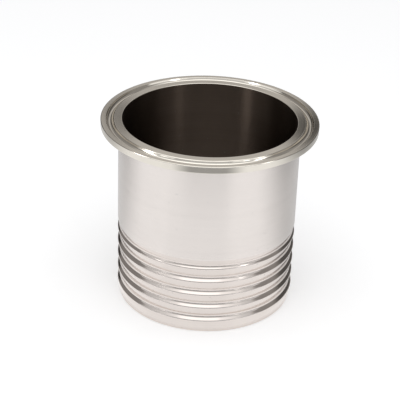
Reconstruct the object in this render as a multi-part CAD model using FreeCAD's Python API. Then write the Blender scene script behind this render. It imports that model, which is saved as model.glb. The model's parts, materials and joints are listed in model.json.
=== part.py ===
import FreeCAD, Part
import math
import os

# A sanitary clamp hose barb, turned as one piece and standing on its hose end.
# Origin: centre of the hose end's face. +Z runs along the bore towards the clamp flange.

# Tube
TUBE_OUTER_DIA = 76.2
TUBE_WALL = 1.65
OVERALL_HEIGHT = 81.0

# Clamp flange, its back sloped for the clamp's jaws
FLANGE_OVERHANG = 7.35
RIM_HEIGHT = 2.9
FLANGE_BACK_ANGLE = 20.0
RIM_EDGE_RADIUS = 0.35
RIM_BACK_RADIUS = 0.3
NECK_FILLET = 1.2
BORE_MOUTH_RADIUS = 0.35

# Gasket groove in the flange's face: a round floor between walls that lean outwards,
# its centre line set out from the tube's outside
GROOVE_SETOUT = 3.55
GROOVE_DEPTH = 1.5
GROOVE_RADIUS = 1.45
GROOVE_WALL_LEAN = 20.0
GROOVE_INNER_EDGE_RADIUS = 0.5
GROOVE_OUTER_EDGE_RADIUS = 0.2

# Barbs cut in the tube: each crest has a shoulder above it, at its angle from level,
# and a long taper below it
BARB_COUNT = 5
BARB_PITCH = 6.25
BARB_CREST_RISE = 0.2
BARB_DEPTH = 1.6
BARB_SHOULDER_ANGLE = 45.0
BARB_CREST_RADIUS = 0.75
BARB_ROOT_RADIUS = 1.4
LAST_CREST_HEIGHT = 5.5

# The shallower relief that runs out of the plain tube into the top barb
RELIEF_DEPTH = 1.0
RELIEF_LENGTH = 3.0
RELIEF_EDGE_RADIUS = 4.0

# Hose end
HOSE_END_SETBACK = 0.55
HOSE_END_EDGE_RADIUS = 0.35
HOSE_END_BORE_CHAMFER = 0.3

SHORTEST_EDGE = 1e-6

TUBE_RADIUS = TUBE_OUTER_DIA / 2.0
BORE_RADIUS = TUBE_RADIUS - TUBE_WALL


def unit(vector):
    return vector * (1.0 / vector.Length)


def rounded_corner(before, corner, after, radius):
    """The arc's start, middle and end where the outline turns at a corner."""
    towards_before = unit(before - corner)
    towards_after = unit(after - corner)
    half_angle = towards_before.getAngle(towards_after) / 2.0
    tangent_length = radius / math.tan(half_angle)
    start = corner + towards_before * tangent_length
    end = corner + towards_after * tangent_length
    centre = corner + unit(towards_before + towards_after) * (radius / math.sin(half_angle))
    middle = centre + unit(corner - centre) * radius
    return start, middle, end


def outline_wire(corners):
    """A closed outline through (radius from the axis, height, rounding) corners."""
    points = [FreeCAD.Vector(across, 0.0, height) for across, height, rounding in corners]
    count = len(corners)
    turns = []
    for index in range(count):
        rounding = corners[index][2]
        if rounding > 0.0:
            before = points[index - 1]
            after = points[(index + 1) % count]
            turns.append(rounded_corner(before, points[index], after, rounding))
        else:
            turns.append((points[index], None, points[index]))
    edges = []
    for index in range(count):
        start, middle, end = turns[index]
        if middle is not None:
            edges.append(Part.Arc(start, middle, end).toShape())
        next_start = turns[(index + 1) % count][0]
        if (next_start - end).Length > SHORTEST_EDGE:
            edges.append(Part.LineSegment(end, next_start).toShape())
    return Part.Wire(edges)


def hose_end_corners():
    return [
        (BORE_RADIUS + HOSE_END_BORE_CHAMFER, 0.0, 0.0),
        (TUBE_RADIUS - HOSE_END_SETBACK, 0.0, HOSE_END_EDGE_RADIUS),
    ]


def barb_corners():
    """The barbs from the hose end upwards, then the relief that meets the plain tube."""
    crest_radius = TUBE_RADIUS + BARB_CREST_RISE
    shoulder_slope = math.tan(math.radians(BARB_SHOULDER_ANGLE))
    corners = []
    for index in range(BARB_COUNT):
        is_top_barb = index == BARB_COUNT - 1
        root_radius = TUBE_RADIUS - RELIEF_DEPTH if is_top_barb else crest_radius - BARB_DEPTH
        crest_height = LAST_CREST_HEIGHT + index * BARB_PITCH
        root_height = crest_height + (crest_radius - root_radius) * shoulder_slope
        corners.append((crest_radius, crest_height, BARB_CREST_RADIUS))
        corners.append((root_radius, root_height, BARB_ROOT_RADIUS))
    corners.append((TUBE_RADIUS, root_height + RELIEF_LENGTH, RELIEF_EDGE_RADIUS))
    return corners


def flange_corners():
    flange_radius = TUBE_RADIUS + FLANGE_OVERHANG
    rim_back = OVERALL_HEIGHT - RIM_HEIGHT
    back_drop = FLANGE_OVERHANG * math.tan(math.radians(FLANGE_BACK_ANGLE))
    return [
        (TUBE_RADIUS, rim_back - back_drop, NECK_FILLET),
        (flange_radius, rim_back, RIM_BACK_RADIUS),
        (flange_radius, OVERALL_HEIGHT, RIM_EDGE_RADIUS),
    ]


def gasket_groove_corners():
    """The groove's walls and round floor, from the outside in."""
    centre_line = TUBE_RADIUS + GROOVE_SETOUT
    wall_lean = math.radians(GROOVE_WALL_LEAN)
    half_floor = GROOVE_RADIUS * math.tan(math.pi / 4.0 - wall_lean / 2.0)
    half_mouth = half_floor + GROOVE_DEPTH * math.tan(wall_lean)
    floor = OVERALL_HEIGHT - GROOVE_DEPTH
    return [
        (centre_line + half_mouth, OVERALL_HEIGHT, GROOVE_OUTER_EDGE_RADIUS),
        (centre_line + half_floor, floor, GROOVE_RADIUS),
        (centre_line - half_floor, floor, GROOVE_RADIUS),
        (centre_line - half_mouth, OVERALL_HEIGHT, GROOVE_INNER_EDGE_RADIUS),
    ]


def bore_corners():
    return [
        (BORE_RADIUS, OVERALL_HEIGHT, BORE_MOUTH_RADIUS),
        (BORE_RADIUS, HOSE_END_BORE_CHAMFER, 0.0),
    ]


def clamp_hose_barb():
    corners = hose_end_corners()
    corners += barb_corners()
    corners += flange_corners()
    corners += gasket_groove_corners()
    corners += bore_corners()
    section = Part.Face(outline_wire(corners))
    axis_point = FreeCAD.Vector(0.0, 0.0, 0.0)
    axis = FreeCAD.Vector(0.0, 0.0, 1.0)
    return section.revolve(axis_point, axis, 360.0)


os.makedirs("parts", exist_ok=True)
clamp_hose_barb().exportStep("parts/clamp_hose_barb.step")
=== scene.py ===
import json
import math

import bpy
from mathutils import Matrix, Vector


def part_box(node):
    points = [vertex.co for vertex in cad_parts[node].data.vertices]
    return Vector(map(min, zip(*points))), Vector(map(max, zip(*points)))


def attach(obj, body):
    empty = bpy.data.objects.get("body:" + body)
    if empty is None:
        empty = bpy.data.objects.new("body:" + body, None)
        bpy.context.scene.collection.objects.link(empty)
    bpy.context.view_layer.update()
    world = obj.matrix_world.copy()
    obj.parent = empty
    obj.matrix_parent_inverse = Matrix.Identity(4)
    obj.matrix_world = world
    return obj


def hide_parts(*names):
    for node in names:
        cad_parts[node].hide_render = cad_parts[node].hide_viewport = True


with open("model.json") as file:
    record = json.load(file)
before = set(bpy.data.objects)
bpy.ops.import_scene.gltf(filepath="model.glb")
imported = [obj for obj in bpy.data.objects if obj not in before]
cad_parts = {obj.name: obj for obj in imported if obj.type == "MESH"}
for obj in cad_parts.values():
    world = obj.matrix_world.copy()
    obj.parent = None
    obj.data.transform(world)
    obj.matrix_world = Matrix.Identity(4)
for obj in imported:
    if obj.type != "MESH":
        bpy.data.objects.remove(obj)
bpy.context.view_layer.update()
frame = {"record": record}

# A sanitary clamp hose barb: one turned piece of stainless tube and flange, standing on its hose end.
# Metres, with +Z along the bore from the hose end to the clamp flange.

MM = 0.001
WHITE = (1.0, 1.0, 1.0, 1.0)

# The part in the frame
NODE = "clamp_hose_barb"
mounts = {mount["name"]: mount for mount in frame["record"]["mounts"]}

OVERALL_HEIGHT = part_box(NODE)[1].z
FLANGE_RADIUS = mounts["clamp_rim"]["dims"]["r_mm"] * MM
BORE_RADIUS = mounts["bore"]["dims"]["r_mm"] * MM

# Tube
TUBE_WALL = 1.65 * MM
TUBE_RADIUS = BORE_RADIUS + TUBE_WALL

# Clamp flange
RIM_HEIGHT = 2.9 * MM
FLANGE_BACK_ANGLE = math.radians(20.0)
RIM_EDGE_RADIUS = 0.35 * MM
RIM_BACK_RADIUS = 0.3 * MM
NECK_FILLET = 1.2 * MM
NECK_HEIGHT = OVERALL_HEIGHT - RIM_HEIGHT - (FLANGE_RADIUS - TUBE_RADIUS) * math.tan(FLANGE_BACK_ANGLE)
BORE_MOUTH_RADIUS = 0.35 * MM

# Gasket groove
GROOVE_SETOUT = 3.55 * MM
GROOVE_DEPTH = 1.5 * MM
GROOVE_RADIUS = 1.45 * MM
GROOVE_WALL_LEAN = math.radians(20.0)
GROOVE_INNER_EDGE_RADIUS = 0.5 * MM
GROOVE_OUTER_EDGE_RADIUS = 0.2 * MM

# Barbs
BARB_COUNT = 5
BARB_PITCH = 6.25 * MM
BARB_CREST_RISE = 0.2 * MM
BARB_DEPTH = 1.6 * MM
BARB_SHOULDER_ANGLE = math.radians(45.0)
BARB_CREST_RADIUS = 0.75 * MM
BARB_ROOT_RADIUS = 1.4 * MM
LAST_CREST_HEIGHT = 5.5 * MM
TOP_CREST_HEIGHT = LAST_CREST_HEIGHT + (BARB_COUNT - 1) * BARB_PITCH

# The relief that runs out of the plain tube into the top barb
RELIEF_DEPTH = 1.0 * MM
RELIEF_LENGTH = 3.0 * MM
RELIEF_EDGE_RADIUS = 4.0 * MM
RELIEF_ROOT_HEIGHT = TOP_CREST_HEIGHT + (BARB_CREST_RISE + RELIEF_DEPTH) * math.tan(BARB_SHOULDER_ANGLE)
PLAIN_TUBE_FOOT = RELIEF_ROOT_HEIGHT + RELIEF_LENGTH

# Hose end
HOSE_END_SETBACK = 0.55 * MM
HOSE_END_EDGE_RADIUS = 0.35 * MM
HOSE_END_BORE_CHAMFER = 0.3 * MM

# How finely the piece is turned, and the least rounding that any edge has
SEGMENTS = 360
ARC_STEP = math.radians(8.0)
FEWEST_ARC_STEPS = 3
EDGE_BREAK = 0.06 * MM

# Rings that turning leaves. They are counted by height plus a multiple of the radius, so that faces, walls
# and shoulders all have them. They spread a reflection across themselves, a quarter turn from their own way.
USUAL_RING_PITCH = 0.4 * MM
RING_RADIUS_WEIGHT = 1.6
RING_LAY = 0.25
RING_WAVER = 0.2
RING_WAVERS_PER_METRE = 18.0
BROAD_BANDS_PER_RING = 0.11
FINE_TONE_SHARE = 0.5

# Marks of handling: how large they are, the noise levels between which they appear, and how strong they are
SMEAR_SIZE = 22.0 * MM
SMEAR_LEVELS = (0.45, 0.75)
SMEAR_STRENGTH = 0.35
SPECK_SIZE = 1.6 * MM
SPECK_LEVELS = (0.70, 0.78)
SPECK_STRENGTH = 0.35
SPECK_COLOR = (0.2, 0.19, 0.18, 1.0)

# Edges rubbed bright: the patches in which they are rubbed more or less, and how much of the dullness goes
WEAR_PATCHES_PER_METRE = 140.0
WEAR_PATCH_LEVELS = (0.35, 0.65)
LEAST_WEAR = 0.4
WEAR = 0.6
WEAR_STRENGTH = 0.6

# Photograph's camera, in millimetres for the sensor and lens and metres for the distance
SENSOR_WIDTH = 36.0
FOCAL_LENGTH = 120.05
CAMERA_DISTANCE = 0.55519
CAMERA_ELEVATION = math.radians(24.644)
CAMERA_PAN = math.radians(-0.300)
CAMERA_TILT = math.radians(-3.529)
CAMERA_ROLL = math.radians(2.152)

# Floor and world
FLOOR_RADIUS = 3.0
FLOOR_DROP = 0.05 * MM
FLOOR_SIDES = 96
FLOOR_COLOR = (0.93, 0.93, 0.93, 1.0)
FLOOR_ROUGHNESS = 0.8
FLOOR_LIFT = 0.25
WORLD_COLOR = (0.98, 0.985, 1.0, 1.0)
WORLD_STRENGTH = 0.5

# Overhead lamp
SOFTBOX_LOW_CORNER = (-0.85, -1.5)
SOFTBOX_HIGH_CORNER = (0.85, 0.45)
SOFTBOX_HEIGHT = 1.2
SOFTBOX_RADIANCE = 1.1

# The surroundings that show in reflections only, chosen so that the metal's light and dark bands fall as in
# the photograph. Azimuths and elevations are in degrees: azimuth 0 is towards the camera and 90 to its right,
# and elevation counts up from the flange's face. Tones are radiances, in which 1 is white. Two numbers in
# brackets are where a change begins and where it is complete, unless a comment says otherwise.

# Walls all round, and how finely they are divided
WALL_RADIUS = 2.0
WALL_LOW = -2.6
WALL_HIGH = 84.0
WALL_STEP = 1.0
COLUMN_STEP = 2.0
FINE_COLUMN_STEP = 0.5
FINE_COLUMNS_FROM = 168.0

# The walls' tones, each at an elevation
FRONT_TONES = (
    (0, 0.05), (8, 0.12), (12, 0.5), (16, 0.9), (21, 0.6), (28, 0.5), (38, 0.7), (46, 1.2), (54, 1.5),
    (70, 1.8), (80, 1.2),
)
LAMP_TONES = (
    (0, 0.05), (8, 0.4), (11, 1.2), (15, 1.2), (22, 0.7), (32, 0.5), (46, 0.8), (54, 1.3), (70, 1.8),
    (80, 1.2),
)
LEFT_BACK_TONES = (
    (0, 0.25), (10, 0.25), (35, 0.28), (45, 0.38), (55, 0.9), (65, 1.3), (72, 1.5), (80, 1.2),
)
RIGHT_SIDE_TONES = (
    (0, 0.35), (30, 0.3), (48, 0.3), (58, 0.9), (66, 1.3), (72, 1.5), (80, 1.2),
)
RIGHT_BACK_TONES = (
    (0, 0.1), (21, 0.1), (28, 0.25), (38, 0.35), (48, 0.28), (58, 0.6), (66, 1.1), (72, 1.5), (80, 1.2),
)
BACK_TONES = (
    (0, 0.3), (12, 0.25), (20, 0.35), (23, 0.56), (30, 0.62), (45, 1.2), (60, 1.45), (72, 1.5), (80, 1.2),
)

# Where the front's tones give way to others: two lamp stretches, each from its left end to its right end, and
# borders that are counted from the front towards the side that they are on
LAMP_STRETCHES = ((-85.0, -38.0), (27.0, 74.0))
LAMP_SOFTNESS = 1.5
LEFT_BACK_BORDER = (84.0, 92.0)
RIGHT_SIDE_BORDER = (71.0, 80.0)
RIGHT_BACK_BORDER = (98.0, 114.0)
BACK_BORDER = (160.0, 172.0)

# A low dark stretch of the left back, counted from the front towards the left
DARK_STRETCH_START = (130.0, 138.0)
DARK_STRETCH_END = (168.0, 176.0)
DARK_STRETCH_TOP = (17.0, 23.0)
DARK_STRETCH_STRENGTH = 0.85

# Soft ovals in the walls: (azimuth, elevation), (half width, half height), strength
DARK_PATCHES = (
    ((173.8, 24.8), (2.4, 1.8), 0.95),
    ((-174.7, 24.6), (1.7, 1.4), 0.8),
)
BRIGHT_PATCHES = (
    ((-51.0, 14.0), (6.0, 9.0), 0.7),
    ((43.0, 14.0), (6.0, 9.0), 0.9),
)
PATCH_SOFTNESS = (0.4, 1.0)

# The sides and the back are a little warmer below this elevation
WARM_TOP = (50.0, 60.0)
WARM_GREEN_LOSS = 0.035
WARM_BLUE_LOSS = 0.07

# The card over the floor, from just outside the tube out to the walls
FLOOR_CARD_LIFT = 0.6 * MM
FLOOR_CARD_GAP = 0.4 * MM
FLOOR_CARD_ROWS = 120
LIGHT_FLOOR_TONE = 1.05
DARK_FLOOR_TONE = 0.03
LIGHT_RING_END = (50.0 * MM, 70.0 * MM)

# How far the floor card's dark covers behind the part, near it and far out, the radii between which that
# changes, and its borders, counted from the front towards each side
LEFT_DARK_COVER = (0.26, 0.80)
LEFT_DARK_RADII = (165.0 * MM, 230.0 * MM)
LEFT_DARK_BORDER = (75.0, 120.0)
RIGHT_DARK_COVER = (0.34, 0.95)
RIGHT_DARK_RADII = (165.0 * MM, 220.0 * MM)
RIGHT_DARK_BORDER = (55.0, 110.0)
DARK_MEETING = (150.0, 180.0)

# A dark strip and a faint shade on the floor card before the part
FRONT_STRIP_COVER = 0.66
FRONT_STRIP_SIDES = (14.0, 38.0)
FRONT_STRIP_START = (180.0 * MM, 190.0 * MM)
FRONT_STRIP_END = (212.0 * MM, 226.0 * MM)
FRONT_SHADE_COVER = 0.04
FRONT_SHADE_LEFT = (-48.0, -36.0)
FRONT_SHADE_RIGHT = (16.0, 28.0)

# Narrow upright cards near the flange: (name, azimuth, radiance). Their columns are (degrees to the side,
# cover) and their rows (height above the flange's face, cover).
STREAK_CARDS = (("left_streak_card", -58.7, 8.0), ("right_streak_card", 50.1, 4.0))
STREAK_CARD_RADIUS = 90.0 * MM
STREAK_CARD_COLUMNS = ((-7.0, 0.0), (-3.0, 0.8), (0.0, 1.0), (3.0, 0.8), (7.0, 0.0))
STREAK_CARD_ROWS = ((11.0 * MM, 0.0), (21.0 * MM, 1.0), (45.0 * MM, 1.0), (55.0 * MM, 0.0))

# The sockets of a Mix node that carry its factor and its colours
MIX_FACTOR = 0
MIX_FIRST_COLOR = 6
MIX_SECOND_COLOR = 7
MIX_MIXED_COLOR = 2


def hose_end_corners():
    """Each corner of the section is (radius, height, rounding)."""
    return [
        (BORE_RADIUS + HOSE_END_BORE_CHAMFER, 0.0, 0.0),
        (TUBE_RADIUS - HOSE_END_SETBACK, 0.0, HOSE_END_EDGE_RADIUS),
    ]


def barb_corners():
    """The barbs from the hose end upwards, then the relief that meets the plain tube."""
    crest_radius = TUBE_RADIUS + BARB_CREST_RISE
    shoulder_slope = math.tan(BARB_SHOULDER_ANGLE)
    corners = []
    for index in range(BARB_COUNT):
        is_top_barb = index == BARB_COUNT - 1
        root_radius = TUBE_RADIUS - RELIEF_DEPTH if is_top_barb else crest_radius - BARB_DEPTH
        crest_height = LAST_CREST_HEIGHT + index * BARB_PITCH
        root_height = crest_height + (crest_radius - root_radius) * shoulder_slope
        corners.append((crest_radius, crest_height, BARB_CREST_RADIUS))
        corners.append((root_radius, root_height, BARB_ROOT_RADIUS))
    corners.append((TUBE_RADIUS, PLAIN_TUBE_FOOT, RELIEF_EDGE_RADIUS))
    return corners


def flange_corners():
    """The neck, the sloped back and the rim, up to the face."""
    return [
        (TUBE_RADIUS, NECK_HEIGHT, NECK_FILLET),
        (FLANGE_RADIUS, OVERALL_HEIGHT - RIM_HEIGHT, RIM_BACK_RADIUS),
        (FLANGE_RADIUS, OVERALL_HEIGHT, RIM_EDGE_RADIUS),
    ]


def gasket_groove_corners():
    """The groove's leaned walls and round floor, from the outside in."""
    centre_line = TUBE_RADIUS + GROOVE_SETOUT
    half_floor = GROOVE_RADIUS * math.tan(math.pi / 4.0 - GROOVE_WALL_LEAN / 2.0)
    half_mouth = half_floor + GROOVE_DEPTH * math.tan(GROOVE_WALL_LEAN)
    floor = OVERALL_HEIGHT - GROOVE_DEPTH
    return [
        (centre_line + half_mouth, OVERALL_HEIGHT, GROOVE_OUTER_EDGE_RADIUS),
        (centre_line + half_floor, floor, GROOVE_RADIUS),
        (centre_line - half_floor, floor, GROOVE_RADIUS),
        (centre_line - half_mouth, OVERALL_HEIGHT, GROOVE_INNER_EDGE_RADIUS),
    ]


def bore_corners():
    """The bore from its mouth down to the chamfer at the hose end."""
    return [
        (BORE_RADIUS, OVERALL_HEIGHT, BORE_MOUTH_RADIUS),
        (BORE_RADIUS, HOSE_END_BORE_CHAMFER, 0.0),
    ]


def section_outline(corners):
    """Points up the section's outside and down its bore: (place, outward normal, 1 on a rounded edge)."""
    outline = []
    count = len(corners)
    for index, (radius, height, rounding) in enumerate(corners):
        corner = Vector((radius, height))
        before = Vector(corners[index - 1][:2])
        after = Vector(corners[(index + 1) % count][:2])
        heading_in = (corner - before).normalized()
        heading_out = (after - corner).normalized()
        cross = heading_in.x * heading_out.y - heading_in.y * heading_out.x
        turn = math.atan2(cross, heading_in.dot(heading_out))
        side = math.copysign(1.0, turn)
        arc_radius = max(rounding, EDGE_BREAK)
        start = corner - heading_in * arc_radius * math.tan(abs(turn) / 2.0)
        start_normal = Vector((heading_in.y, -heading_in.x))
        centre = start - start_normal * arc_radius * side
        steps = max(FEWEST_ARC_STEPS, math.ceil(abs(turn) / ARC_STEP))
        for step in range(steps + 1):
            normal = start_normal.copy()
            normal.rotate(Matrix.Rotation(turn * step / steps, 2))
            is_edge = side > 0.0 and 0 < step < steps
            outline.append((centre + normal * arc_radius * side, normal, 1.0 if is_edge else 0.0))
    return outline


def turned_piece(name, outline):
    """The section turned round the bore's axis, shaded with the outline's own normals."""
    places = []
    normals = []
    edges = []
    for segment in range(SEGMENTS):
        angle = math.tau * segment / SEGMENTS
        cosine = math.cos(angle)
        sine = math.sin(angle)
        for place, normal, edge in outline:
            places.append((place.x * cosine, place.x * sine, place.y))
            normals.append((normal.x * cosine, normal.x * sine, normal.y))
            edges.append(edge)
    count = len(outline)
    faces = []
    for segment in range(SEGMENTS):
        here = segment * count
        beside = (segment + 1) % SEGMENTS * count
        for index in range(count):
            above = (index + 1) % count
            faces.append((here + index, beside + index, beside + above, here + above))
    mesh = bpy.data.meshes.new(name)
    mesh.from_pydata(places, [], faces)
    mesh.shade_smooth()
    mesh.normals_split_custom_set_from_vertices(normals)
    edge_mask = mesh.attributes.new("edge", "FLOAT", "POINT")
    edge_mask.data.foreach_set("value", edges)
    piece = bpy.data.objects.new(name, mesh)
    bpy.context.scene.collection.objects.link(piece)
    return piece


def give_finishes(piece, outline, finishes):
    """Each stretch of the section takes the finish of its zone."""
    zones = list(finishes)
    for zone in zones:
        piece.data.materials.append(finishes[zone])
    count = len(outline)
    stretch_zones = []
    for index in range(count):
        middle = (outline[index][0] + outline[(index + 1) % count][0]) / 2.0
        stretch_zones.append(zones.index(zone_at(middle.x, middle.y)))
    piece.data.polygons.foreach_set("material_index", stretch_zones * SEGMENTS)


def zone_at(radius, height):
    """The zone of the section that a place on its outline is in."""
    if radius < BORE_RADIUS + EDGE_BREAK:
        return "bore"
    if height > NECK_HEIGHT - NECK_FILLET:
        return "flange"
    if height > PLAIN_TUBE_FOOT:
        return "tube"
    return "barbs"


class Nodes:
    """Short ways to add nodes to one node tree and join them."""

    def __init__(self, tree):
        self.tree = tree

    def add(self, kind, settings=None, **inputs):
        node = self.tree.nodes.new("ShaderNode" + kind)
        for name, value in (settings or {}).items():
            setattr(node, name, value)
        for name, value in inputs.items():
            self.feed(node.inputs[name.replace("_", " ")], value)
        return node

    def feed(self, socket, value):
        if isinstance(value, bpy.types.NodeSocket):
            self.tree.links.new(value, socket)
        else:
            socket.default_value = value

    def math(self, operation, *values, clamp=False):
        node = self.add("Math", {"operation": operation, "use_clamp": clamp})
        for socket, value in zip(node.inputs, values):
            self.feed(socket, value)
        return node.outputs[0]

    def mix_color(self, factor, first, second):
        node = self.add("Mix", {"data_type": "RGBA"})
        self.feed(node.inputs[MIX_FACTOR], factor)
        self.feed(node.inputs[MIX_FIRST_COLOR], first)
        self.feed(node.inputs[MIX_SECOND_COLOR], second)
        return node.outputs[MIX_MIXED_COLOR]

    def map_range(self, value, from_low, from_high, to_low, to_high):
        node = self.add("MapRange")
        for socket, each in zip(node.inputs, (value, from_low, from_high, to_low, to_high)):
            self.feed(socket, each)
        return node.outputs[0]


def new_group(name, inputs, outputs):
    """An empty shader node group: its inputs are {name: default}, and all its sockets carry one number."""
    tree = bpy.data.node_groups.new(name, "ShaderNodeTree")
    for socket_name, default in inputs.items():
        socket = tree.interface.new_socket(socket_name, in_out="INPUT", socket_type="NodeSocketFloat")
        socket.default_value = default
    for socket_name in outputs:
        tree.interface.new_socket(socket_name, in_out="OUTPUT", socket_type="NodeSocketFloat")
    nodes = Nodes(tree)
    entry = tree.nodes.new("NodeGroupInput")
    way_out = tree.nodes.new("NodeGroupOutput")
    return nodes, entry, way_out


def place_group(nodes, tree, **inputs):
    """A group placed in a material, with the material's own values."""
    node = nodes.tree.nodes.new("ShaderNodeGroup")
    node.node_tree = tree
    for name, value in inputs.items():
        nodes.feed(node.inputs[name.replace("_", " ")], value)
    return node


def turning_rings_group():
    """Fine rings round the axis, on faces and walls alike, that waver a little on their way round."""
    inputs = {"Ring Pitch": USUAL_RING_PITCH, "Waver": RING_WAVER}
    nodes, entry, way_out = new_group("turning_rings", inputs, ("Height", "Tone"))
    place = nodes.add("TexCoord").outputs["Object"]
    parts = nodes.add("SeparateXYZ", Vector=place)
    across = nodes.math("MULTIPLY", parts.outputs["X"], parts.outputs["X"])
    deep = nodes.math("MULTIPLY", parts.outputs["Y"], parts.outputs["Y"])
    radius = nodes.math("SQRT", nodes.math("ADD", across, deep))
    along_outline = nodes.math("MULTIPLY_ADD", radius, RING_RADIUS_WEIGHT, parts.outputs["Z"])
    ring_number = nodes.math("DIVIDE", along_outline, entry.outputs["Ring Pitch"])
    waver = nodes.add("TexNoise", Vector=place, Scale=RING_WAVERS_PER_METRE, Detail=1.0)
    wavering = nodes.math("MULTIPLY_ADD", waver.outputs[0], entry.outputs["Waver"], ring_number)
    one_way = {"noise_dimensions": "1D"}
    fine = nodes.add("TexNoise", one_way, W=wavering, Scale=1.0, Detail=3.0, Roughness=0.6)
    broad = nodes.add("TexNoise", one_way, W=wavering, Scale=BROAD_BANDS_PER_RING, Detail=2.0)
    nodes.feed(way_out.inputs["Height"], fine.outputs[0])
    fine_tone = nodes.math("MULTIPLY", fine.outputs[0], FINE_TONE_SHARE)
    broad_tone = nodes.math("MULTIPLY", broad.outputs[0], 1.0 - FINE_TONE_SHARE)
    nodes.feed(way_out.inputs["Tone"], nodes.math("ADD", fine_tone, broad_tone))
    return nodes.tree


def handling_marks_group():
    """Soft smears and a few specks, where hands and tools have been."""
    inputs = {"Smear Size": SMEAR_SIZE, "Speck Size": SPECK_SIZE}
    nodes, entry, way_out = new_group("handling_marks", inputs, ("Smear", "Speck"))
    place = nodes.add("TexCoord").outputs["Object"]
    smear_scale = nodes.math("DIVIDE", 1.0, entry.outputs["Smear Size"])
    smear = nodes.add("TexNoise", Vector=place, Scale=smear_scale, Detail=4.0, Roughness=0.55, Distortion=0.4)
    speck_scale = nodes.math("DIVIDE", 1.0, entry.outputs["Speck Size"])
    speck = nodes.add("TexNoise", Vector=place, Scale=speck_scale, Detail=2.0, Roughness=0.5)
    nodes.feed(way_out.inputs["Smear"], nodes.map_range(smear.outputs[0], *SMEAR_LEVELS, 0.0, 1.0))
    nodes.feed(way_out.inputs["Speck"], nodes.map_range(speck.outputs[0], *SPECK_LEVELS, 0.0, 1.0))
    return nodes.tree


def edge_wear_group():
    """Edges that handling has rubbed brighter and smoother, more in some places than in others."""
    nodes, entry, way_out = new_group("edge_wear", {"Wear": WEAR}, ("Mask",))
    edge = nodes.add("Attribute", {"attribute_name": "edge"}).outputs["Fac"]
    place = nodes.add("TexCoord").outputs["Object"]
    patches = nodes.add("TexNoise", Vector=place, Scale=WEAR_PATCHES_PER_METRE, Detail=3.0)
    patchy = nodes.map_range(patches.outputs[0], *WEAR_PATCH_LEVELS, LEAST_WEAR, 1.0)
    worn = nodes.math("MULTIPLY", nodes.math("MULTIPLY", edge, patchy), entry.outputs["Wear"], clamp=True)
    nodes.feed(way_out.inputs["Mask"], worn)
    return nodes.tree


def turned_finish(name, groups, bright, dull, smooth, rough, anisotropy, ring_pitch, ring_depth):
    """Turned stainless steel: two tones and two roughnesses, blended by its rings, smears and worn edges."""
    material = bpy.data.materials.new(name)
    material.use_nodes = True
    nodes = Nodes(material.node_tree)
    shader = material.node_tree.nodes["Principled BSDF"]
    rings = place_group(nodes, groups["rings"], Ring_Pitch=ring_pitch, Waver=RING_WAVER)
    marks = place_group(nodes, groups["marks"], Smear_Size=SMEAR_SIZE, Speck_Size=SPECK_SIZE)
    wear = place_group(nodes, groups["wear"], Wear=WEAR)
    marked = nodes.math("MULTIPLY_ADD", marks.outputs["Smear"], SMEAR_STRENGTH, rings.outputs["Tone"])
    rubbed = nodes.math("MULTIPLY", wear.outputs["Mask"], WEAR_STRENGTH)
    dullness = nodes.math("SUBTRACT", marked, rubbed, clamp=True)
    tone = nodes.mix_color(dullness, bright, dull)
    specks = nodes.math("MULTIPLY", marks.outputs["Speck"], SPECK_STRENGTH)
    nodes.feed(shader.inputs["Base Color"], nodes.mix_color(specks, tone, SPECK_COLOR))
    shader.inputs["Metallic"].default_value = 1.0
    nodes.feed(shader.inputs["Roughness"], nodes.map_range(dullness, 0.0, 1.0, smooth, rough))
    shader.inputs["Anisotropic"].default_value = anisotropy
    shader.inputs["Anisotropic Rotation"].default_value = RING_LAY
    tangent = nodes.add("Tangent", {"direction_type": "RADIAL", "axis": "Z"})
    nodes.feed(shader.inputs["Tangent"], tangent.outputs[0])
    bump = nodes.add("Bump", Height=rings.outputs["Height"], Strength=1.0, Distance=ring_depth)
    nodes.feed(shader.inputs["Normal"], bump.outputs["Normal"])
    return material


def flange_finish(groups):
    """Fine bright turning, the most mirrorlike of the four."""
    return turned_finish(
        "turned_flange", groups,
        bright=(0.77, 0.73, 0.66, 1.0), dull=(0.69, 0.65, 0.585, 1.0),
        smooth=0.05, rough=0.10, anisotropy=0.4, ring_pitch=0.25 * MM, ring_depth=0.0006 * MM,
    )


def tube_finish(groups):
    """Brushed round, so that reflections spread far up and down the tube."""
    return turned_finish(
        "brushed_tube", groups,
        bright=(0.77, 0.724, 0.694, 1.0), dull=(0.73, 0.684, 0.652, 1.0),
        smooth=0.18, rough=0.24, anisotropy=0.9, ring_pitch=0.3 * MM, ring_depth=0.0003 * MM,
    )


def barb_finish(groups):
    """Turned a little coarser than the flange."""
    return turned_finish(
        "turned_barbs", groups,
        bright=(0.77, 0.71, 0.675, 1.0), dull=(0.71, 0.65, 0.61, 1.0),
        smooth=0.09, rough=0.14, anisotropy=0.5, ring_pitch=0.35 * MM, ring_depth=0.0008 * MM,
    )


def bore_finish_with_painted_shade(groups):
    """Satin, the roughest of the four, with painted shade: its dark tones stand in for the shade deep inside
    the bore, not for a darker steel.
    """
    return turned_finish(
        "satin_bore_painted_shade", groups,
        # Painted shade: these near-black tones darken the bore's steel to stand in for the shade inside it.
        bright=(0.145, 0.113, 0.09, 1.0), dull=(0.11, 0.084, 0.066, 1.0),
        smooth=0.30, rough=0.36, anisotropy=1.0, ring_pitch=0.5 * MM, ring_depth=0.0002 * MM,
    )


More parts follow.
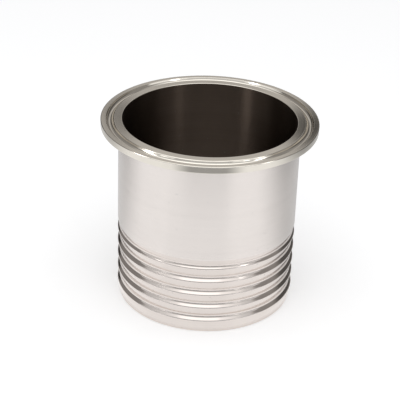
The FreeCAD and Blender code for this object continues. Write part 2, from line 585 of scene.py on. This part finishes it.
def floor_material():
    """Pale floor that keeps the part's shadow, lifted towards white for the camera and in reflections."""
    material = bpy.data.materials.new("pale_floor")
    material.use_nodes = True
    nodes = Nodes(material.node_tree)
    shader = material.node_tree.nodes["Principled BSDF"]
    shader.inputs["Base Color"].default_value = FLOOR_COLOR
    shader.inputs["Roughness"].default_value = FLOOR_ROUGHNESS
    shader.inputs["Emission Color"].default_value = WHITE
    light_path = nodes.add("LightPath")
    seen = nodes.math("ADD", light_path.outputs["Is Camera Ray"], light_path.outputs["Is Glossy Ray"])
    seen = nodes.math("ADD", seen, light_path.outputs["Is Transmission Ray"], clamp=True)
    nodes.feed(shader.inputs["Emission Strength"], nodes.math("MULTIPLY", seen, FLOOR_LIFT))
    return material


def lay_floor():
    """A round floor, a hair below the hose end."""
    mesh = bpy.data.meshes.new("pale_floor")
    rim = []
    for side in range(FLOOR_SIDES):
        angle = math.tau * side / FLOOR_SIDES
        rim.append((FLOOR_RADIUS * math.cos(angle), FLOOR_RADIUS * math.sin(angle), -FLOOR_DROP))
    mesh.from_pydata(rim, [], [tuple(range(FLOOR_SIDES))])
    mesh.materials.append(floor_material())
    floor = bpy.data.objects.new("pale_floor", mesh)
    bpy.context.scene.collection.objects.link(floor)


def blend(first, second, share):
    """The first value at share 0, the second at share 1."""
    return first + (second - first) * share


def ease(value, low, high):
    """0 up to low, 1 from high on, and smooth between."""
    share = min(max((value - low) / (high - low), 0.0), 1.0)
    return share * share * (3.0 - 2.0 * share)


def tone_at(height, stops):
    """The tone at a height, straight from one (height, tone) stop to the next."""
    for (low, low_tone), (high, high_tone) in zip(stops, stops[1:]):
        if height <= high:
            return blend(low_tone, high_tone, max((height - low) / (high - low), 0.0))
    return stops[-1][1]


def lamp_stretch(azimuth, left, right):
    """1 between left and right, with soft ends."""
    after_left = ease(azimuth, left - LAMP_SOFTNESS, left + LAMP_SOFTNESS)
    before_right = 1.0 - ease(azimuth, right - LAMP_SOFTNESS, right + LAMP_SOFTNESS)
    return after_left * before_right


def patch(azimuth, elevation, centre, half_size):
    """1 at the centre of a soft oval patch and 0 beyond its size."""
    across = (azimuth - centre[0]) / half_size[0]
    up = (elevation - centre[1]) / half_size[1]
    return 1.0 - ease(math.hypot(across, up), *PATCH_SOFTNESS)


def wall_color(azimuth, elevation):
    """The walls' colour in a direction from the middle of the flange's face."""
    lamps = max(lamp_stretch(azimuth, left, right) for left, right in LAMP_STRETCHES)
    left_back = ease(-azimuth, *LEFT_BACK_BORDER)
    right_side = ease(azimuth, *RIGHT_SIDE_BORDER)
    tone = tone_at(elevation, FRONT_TONES)
    tone = blend(tone, tone_at(elevation, LAMP_TONES), lamps)
    tone = blend(tone, tone_at(elevation, LEFT_BACK_TONES), left_back)
    tone = blend(tone, tone_at(elevation, RIGHT_SIDE_TONES), right_side)
    tone = blend(tone, tone_at(elevation, RIGHT_BACK_TONES), ease(azimuth, *RIGHT_BACK_BORDER))
    tone = blend(tone, tone_at(elevation, BACK_TONES), ease(abs(azimuth), *BACK_BORDER))
    dark_stretch = ease(-azimuth, *DARK_STRETCH_START) * (1.0 - ease(-azimuth, *DARK_STRETCH_END))
    tone *= 1.0 - DARK_STRETCH_STRENGTH * dark_stretch * (1.0 - ease(elevation, *DARK_STRETCH_TOP))
    for centre, half_size, strength in DARK_PATCHES:
        tone *= 1.0 - strength * patch(azimuth, elevation, centre, half_size)
    for centre, half_size, strength in BRIGHT_PATCHES:
        tone += strength * patch(azimuth, elevation, centre, half_size)
    warm = max(left_back, right_side) * (1.0 - ease(elevation, *WARM_TOP))
    return tone, tone * (1.0 - WARM_GREEN_LOSS * warm), tone * (1.0 - WARM_BLUE_LOSS * warm)


def floor_card_color(azimuth, radius):
    """Light round the part, dark behind it and in a strip before it; the fourth value is the cover."""
    left = blend(*LEFT_DARK_COVER, ease(radius, *LEFT_DARK_RADII))
    right = blend(*RIGHT_DARK_COVER, ease(radius, *RIGHT_DARK_RADII))
    to_middle = 0.5 * (right - left) * ease(abs(azimuth), *DARK_MEETING)
    left_behind = ease(-azimuth, *LEFT_DARK_BORDER) * (left + to_middle)
    right_behind = ease(azimuth, *RIGHT_DARK_BORDER) * (right - to_middle)
    strip = FRONT_STRIP_COVER * (1.0 - ease(abs(azimuth), *FRONT_STRIP_SIDES))
    strip *= ease(radius, *FRONT_STRIP_START) * (1.0 - ease(radius, *FRONT_STRIP_END))
    shade = FRONT_SHADE_COVER * ease(azimuth, *FRONT_SHADE_LEFT) * (1.0 - ease(azimuth, *FRONT_SHADE_RIGHT))
    dark = max(left_behind, right_behind, strip, shade)
    light = (1.0 - dark) * (1.0 - ease(radius, *LIGHT_RING_END))
    cover = dark + light
    tone = (DARK_FLOOR_TONE * dark + LIGHT_FLOOR_TONE * light) / cover if cover > 0.0 else 0.0
    return tone, tone, tone, cover


def reflected_card(name, places, faces, colors):
    """A glowing card that shows in reflections only; its colours' fourth value is how solid it is."""
    mesh = bpy.data.meshes.new(name)
    mesh.from_pydata(places, [], faces)
    tones = mesh.attributes.new("tone", "FLOAT_COLOR", "POINT")
    tones.data.foreach_set("color", [value for color in colors for value in color])
    material = bpy.data.materials.new(name)
    material.use_nodes = True
    material.cycles.emission_sampling = "NONE"
    nodes = Nodes(material.node_tree)
    material.node_tree.nodes.remove(material.node_tree.nodes["Principled BSDF"])
    tone = nodes.add("Attribute", {"attribute_name": "tone"})
    glow = nodes.add("Emission", Color=tone.outputs["Color"])
    clear = nodes.add("BsdfTransparent")
    solid = nodes.add("MixShader")
    for socket, source in zip(solid.inputs, (tone.outputs["Alpha"], clear.outputs[0], glow.outputs[0])):
        nodes.feed(socket, source)
    nodes.feed(material.node_tree.nodes["Material Output"].inputs["Surface"], solid.outputs[0])
    mesh.materials.append(material)
    card = bpy.data.objects.new(name, mesh)
    card.visible_camera = False
    card.visible_diffuse = False
    card.visible_shadow = False
    bpy.context.scene.collection.objects.link(card)


def studio_place(azimuth, radius, height):
    """The place at an azimuth, a radius from the bore's axis and a height."""
    around = math.radians(azimuth)
    return radius * math.sin(around), -radius * math.cos(around), height


def grid_faces(columns, rows, is_ring):
    """Faces between neighbouring columns of points; in a ring, the last column meets the first."""
    faces = []
    for column in range(columns if is_ring else columns - 1):
        here = column * rows
        beside = (column + 1) % columns * rows
        for row in range(rows - 1):
            faces.append((here + row, beside + row, beside + row + 1, here + row + 1))
    return faces


def column_azimuths():
    """Columns all round, closer together straight behind the part, in what the flange's face mirrors."""
    azimuths = []
    azimuth = -180.0
    while azimuth < 180.0:
        azimuths.append(azimuth)
        is_fine = azimuth < -FINE_COLUMNS_FROM or azimuth >= FINE_COLUMNS_FROM
        azimuth += FINE_COLUMN_STEP if is_fine else COLUMN_STEP
    return azimuths


def stand_walls():
    """Walls all round, part of a ball about the middle of the flange's face."""
    places = []
    colors = []
    azimuths = column_azimuths()
    rows = round((WALL_HIGH - WALL_LOW) / WALL_STEP) + 1
    for azimuth in azimuths:
        for row in range(rows):
            elevation = WALL_LOW + WALL_STEP * row
            radius = WALL_RADIUS * math.cos(math.radians(elevation))
            height = OVERALL_HEIGHT + WALL_RADIUS * math.sin(math.radians(elevation))
            places.append(studio_place(azimuth, radius, height))
            colors.append((*wall_color(azimuth, elevation), 1.0))
    reflected_card("studio_walls", places, grid_faces(len(azimuths), rows, True), colors)


def lay_floor_card():
    """A ring just above the floor, with its rows closest together near the part."""
    places = []
    colors = []
    azimuths = column_azimuths()
    inner_radius = TUBE_RADIUS + FLOOR_CARD_GAP
    for azimuth in azimuths:
        for row in range(FLOOR_CARD_ROWS):
            radius = inner_radius * (WALL_RADIUS / inner_radius) ** (row / (FLOOR_CARD_ROWS - 1))
            places.append(studio_place(azimuth, radius, FLOOR_CARD_LIFT))
            colors.append(floor_card_color(azimuth, radius))
    reflected_card("dark_floor_card", places, grid_faces(len(azimuths), FLOOR_CARD_ROWS, True), colors)


def stand_streak_card(name, azimuth, radiance):
    """A narrow upright card with soft edges, which the bore's far wall mirrors as a streak."""
    places = []
    colors = []
    for offset, column_cover in STREAK_CARD_COLUMNS:
        for rise, row_cover in STREAK_CARD_ROWS:
            places.append(studio_place(azimuth + offset, STREAK_CARD_RADIUS, OVERALL_HEIGHT + rise))
            colors.append((radiance, radiance, radiance, column_cover * row_cover))
    reflected_card(name, places, grid_faces(len(STREAK_CARD_COLUMNS), len(STREAK_CARD_ROWS), False), colors)


def hang_overhead_softbox():
    """One soft lamp over the part, which the metal doesn't mirror."""
    lamp = bpy.data.lights.new("overhead_softbox", "AREA")
    lamp.shape = "RECTANGLE"
    lamp.size = SOFTBOX_HIGH_CORNER[0] - SOFTBOX_LOW_CORNER[0]
    lamp.size_y = SOFTBOX_HIGH_CORNER[1] - SOFTBOX_LOW_CORNER[1]
    lamp.energy = SOFTBOX_RADIANCE * math.pi * lamp.size * lamp.size_y
    holder = bpy.data.objects.new("overhead_softbox", lamp)
    middle = [(low + high) / 2.0 for low, high in zip(SOFTBOX_LOW_CORNER, SOFTBOX_HIGH_CORNER)]
    holder.location = (*middle, SOFTBOX_HEIGHT)
    holder.visible_camera = False
    holder.visible_glossy = False
    bpy.context.scene.collection.objects.link(holder)


def light_world():
    """Plain pale light from all round."""
    world = bpy.data.worlds.new("studio")
    world.use_nodes = True
    background = world.node_tree.nodes["Background"]
    background.inputs["Color"].default_value = WORLD_COLOR
    background.inputs["Strength"].default_value = WORLD_STRENGTH
    bpy.context.scene.world = world


def set_camera():
    """The photograph's camera: it faces the middle of the flange's face, then turns and rolls a little."""
    forward = Vector((0.0, math.cos(CAMERA_ELEVATION), -math.sin(CAMERA_ELEVATION)))
    right = Vector((1.0, 0.0, 0.0))
    up = right.cross(forward)
    place = Vector((0.0, 0.0, OVERALL_HEIGHT)) - forward * CAMERA_DISTANCE
    forward, right = turn_pair(forward, right, CAMERA_PAN)
    forward, up = turn_pair(forward, up, CAMERA_TILT)
    right, up = turn_pair(right, up, CAMERA_ROLL)
    camera_data = bpy.data.cameras.new("photograph_camera")
    camera_data.sensor_width = SENSOR_WIDTH
    camera_data.lens = FOCAL_LENGTH
    camera = bpy.data.objects.new("photograph_camera", camera_data)
    axes = Matrix((right, up, -forward)).transposed()
    camera.matrix_world = Matrix.Translation(place) @ axes.to_4x4()
    bpy.context.scene.collection.objects.link(camera)
    bpy.context.scene.camera = camera


def turn_pair(first, second, angle):
    """Two square axes turned by an angle, the first towards the second."""
    turned_first = first * math.cos(angle) + second * math.sin(angle)
    turned_second = second * math.cos(angle) - first * math.sin(angle)
    return turned_first, turned_second


def make_hose_barb():
    """The fine turned mesh that stands for the CAD node, with its four finishes."""
    outside_corners = hose_end_corners() + barb_corners() + flange_corners()
    outline = section_outline(outside_corners + gasket_groove_corners() + bore_corners())
    piece = turned_piece("turned_hose_barb", outline)
    groups = {"rings": turning_rings_group(), "marks": handling_marks_group(), "wear": edge_wear_group()}
    finishes = {
        "flange": flange_finish(groups),
        "tube": tube_finish(groups),
        "barbs": barb_finish(groups),
        "bore": bore_finish_with_painted_shade(groups),
    }
    give_finishes(piece, outline, finishes)
    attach(piece, "root")
    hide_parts(NODE)


def light_studio():
    """The world and the lamp light the part, and the cards are most of what it mirrors."""
    light_world()
    hang_overhead_softbox()
    stand_walls()
    lay_floor_card()
    for name, azimuth, radiance in STREAK_CARDS:
        stand_streak_card(name, azimuth, radiance)


bpy.context.scene.view_settings.view_transform = "Standard"
set_camera()
lay_floor()
make_hose_barb()
light_studio()
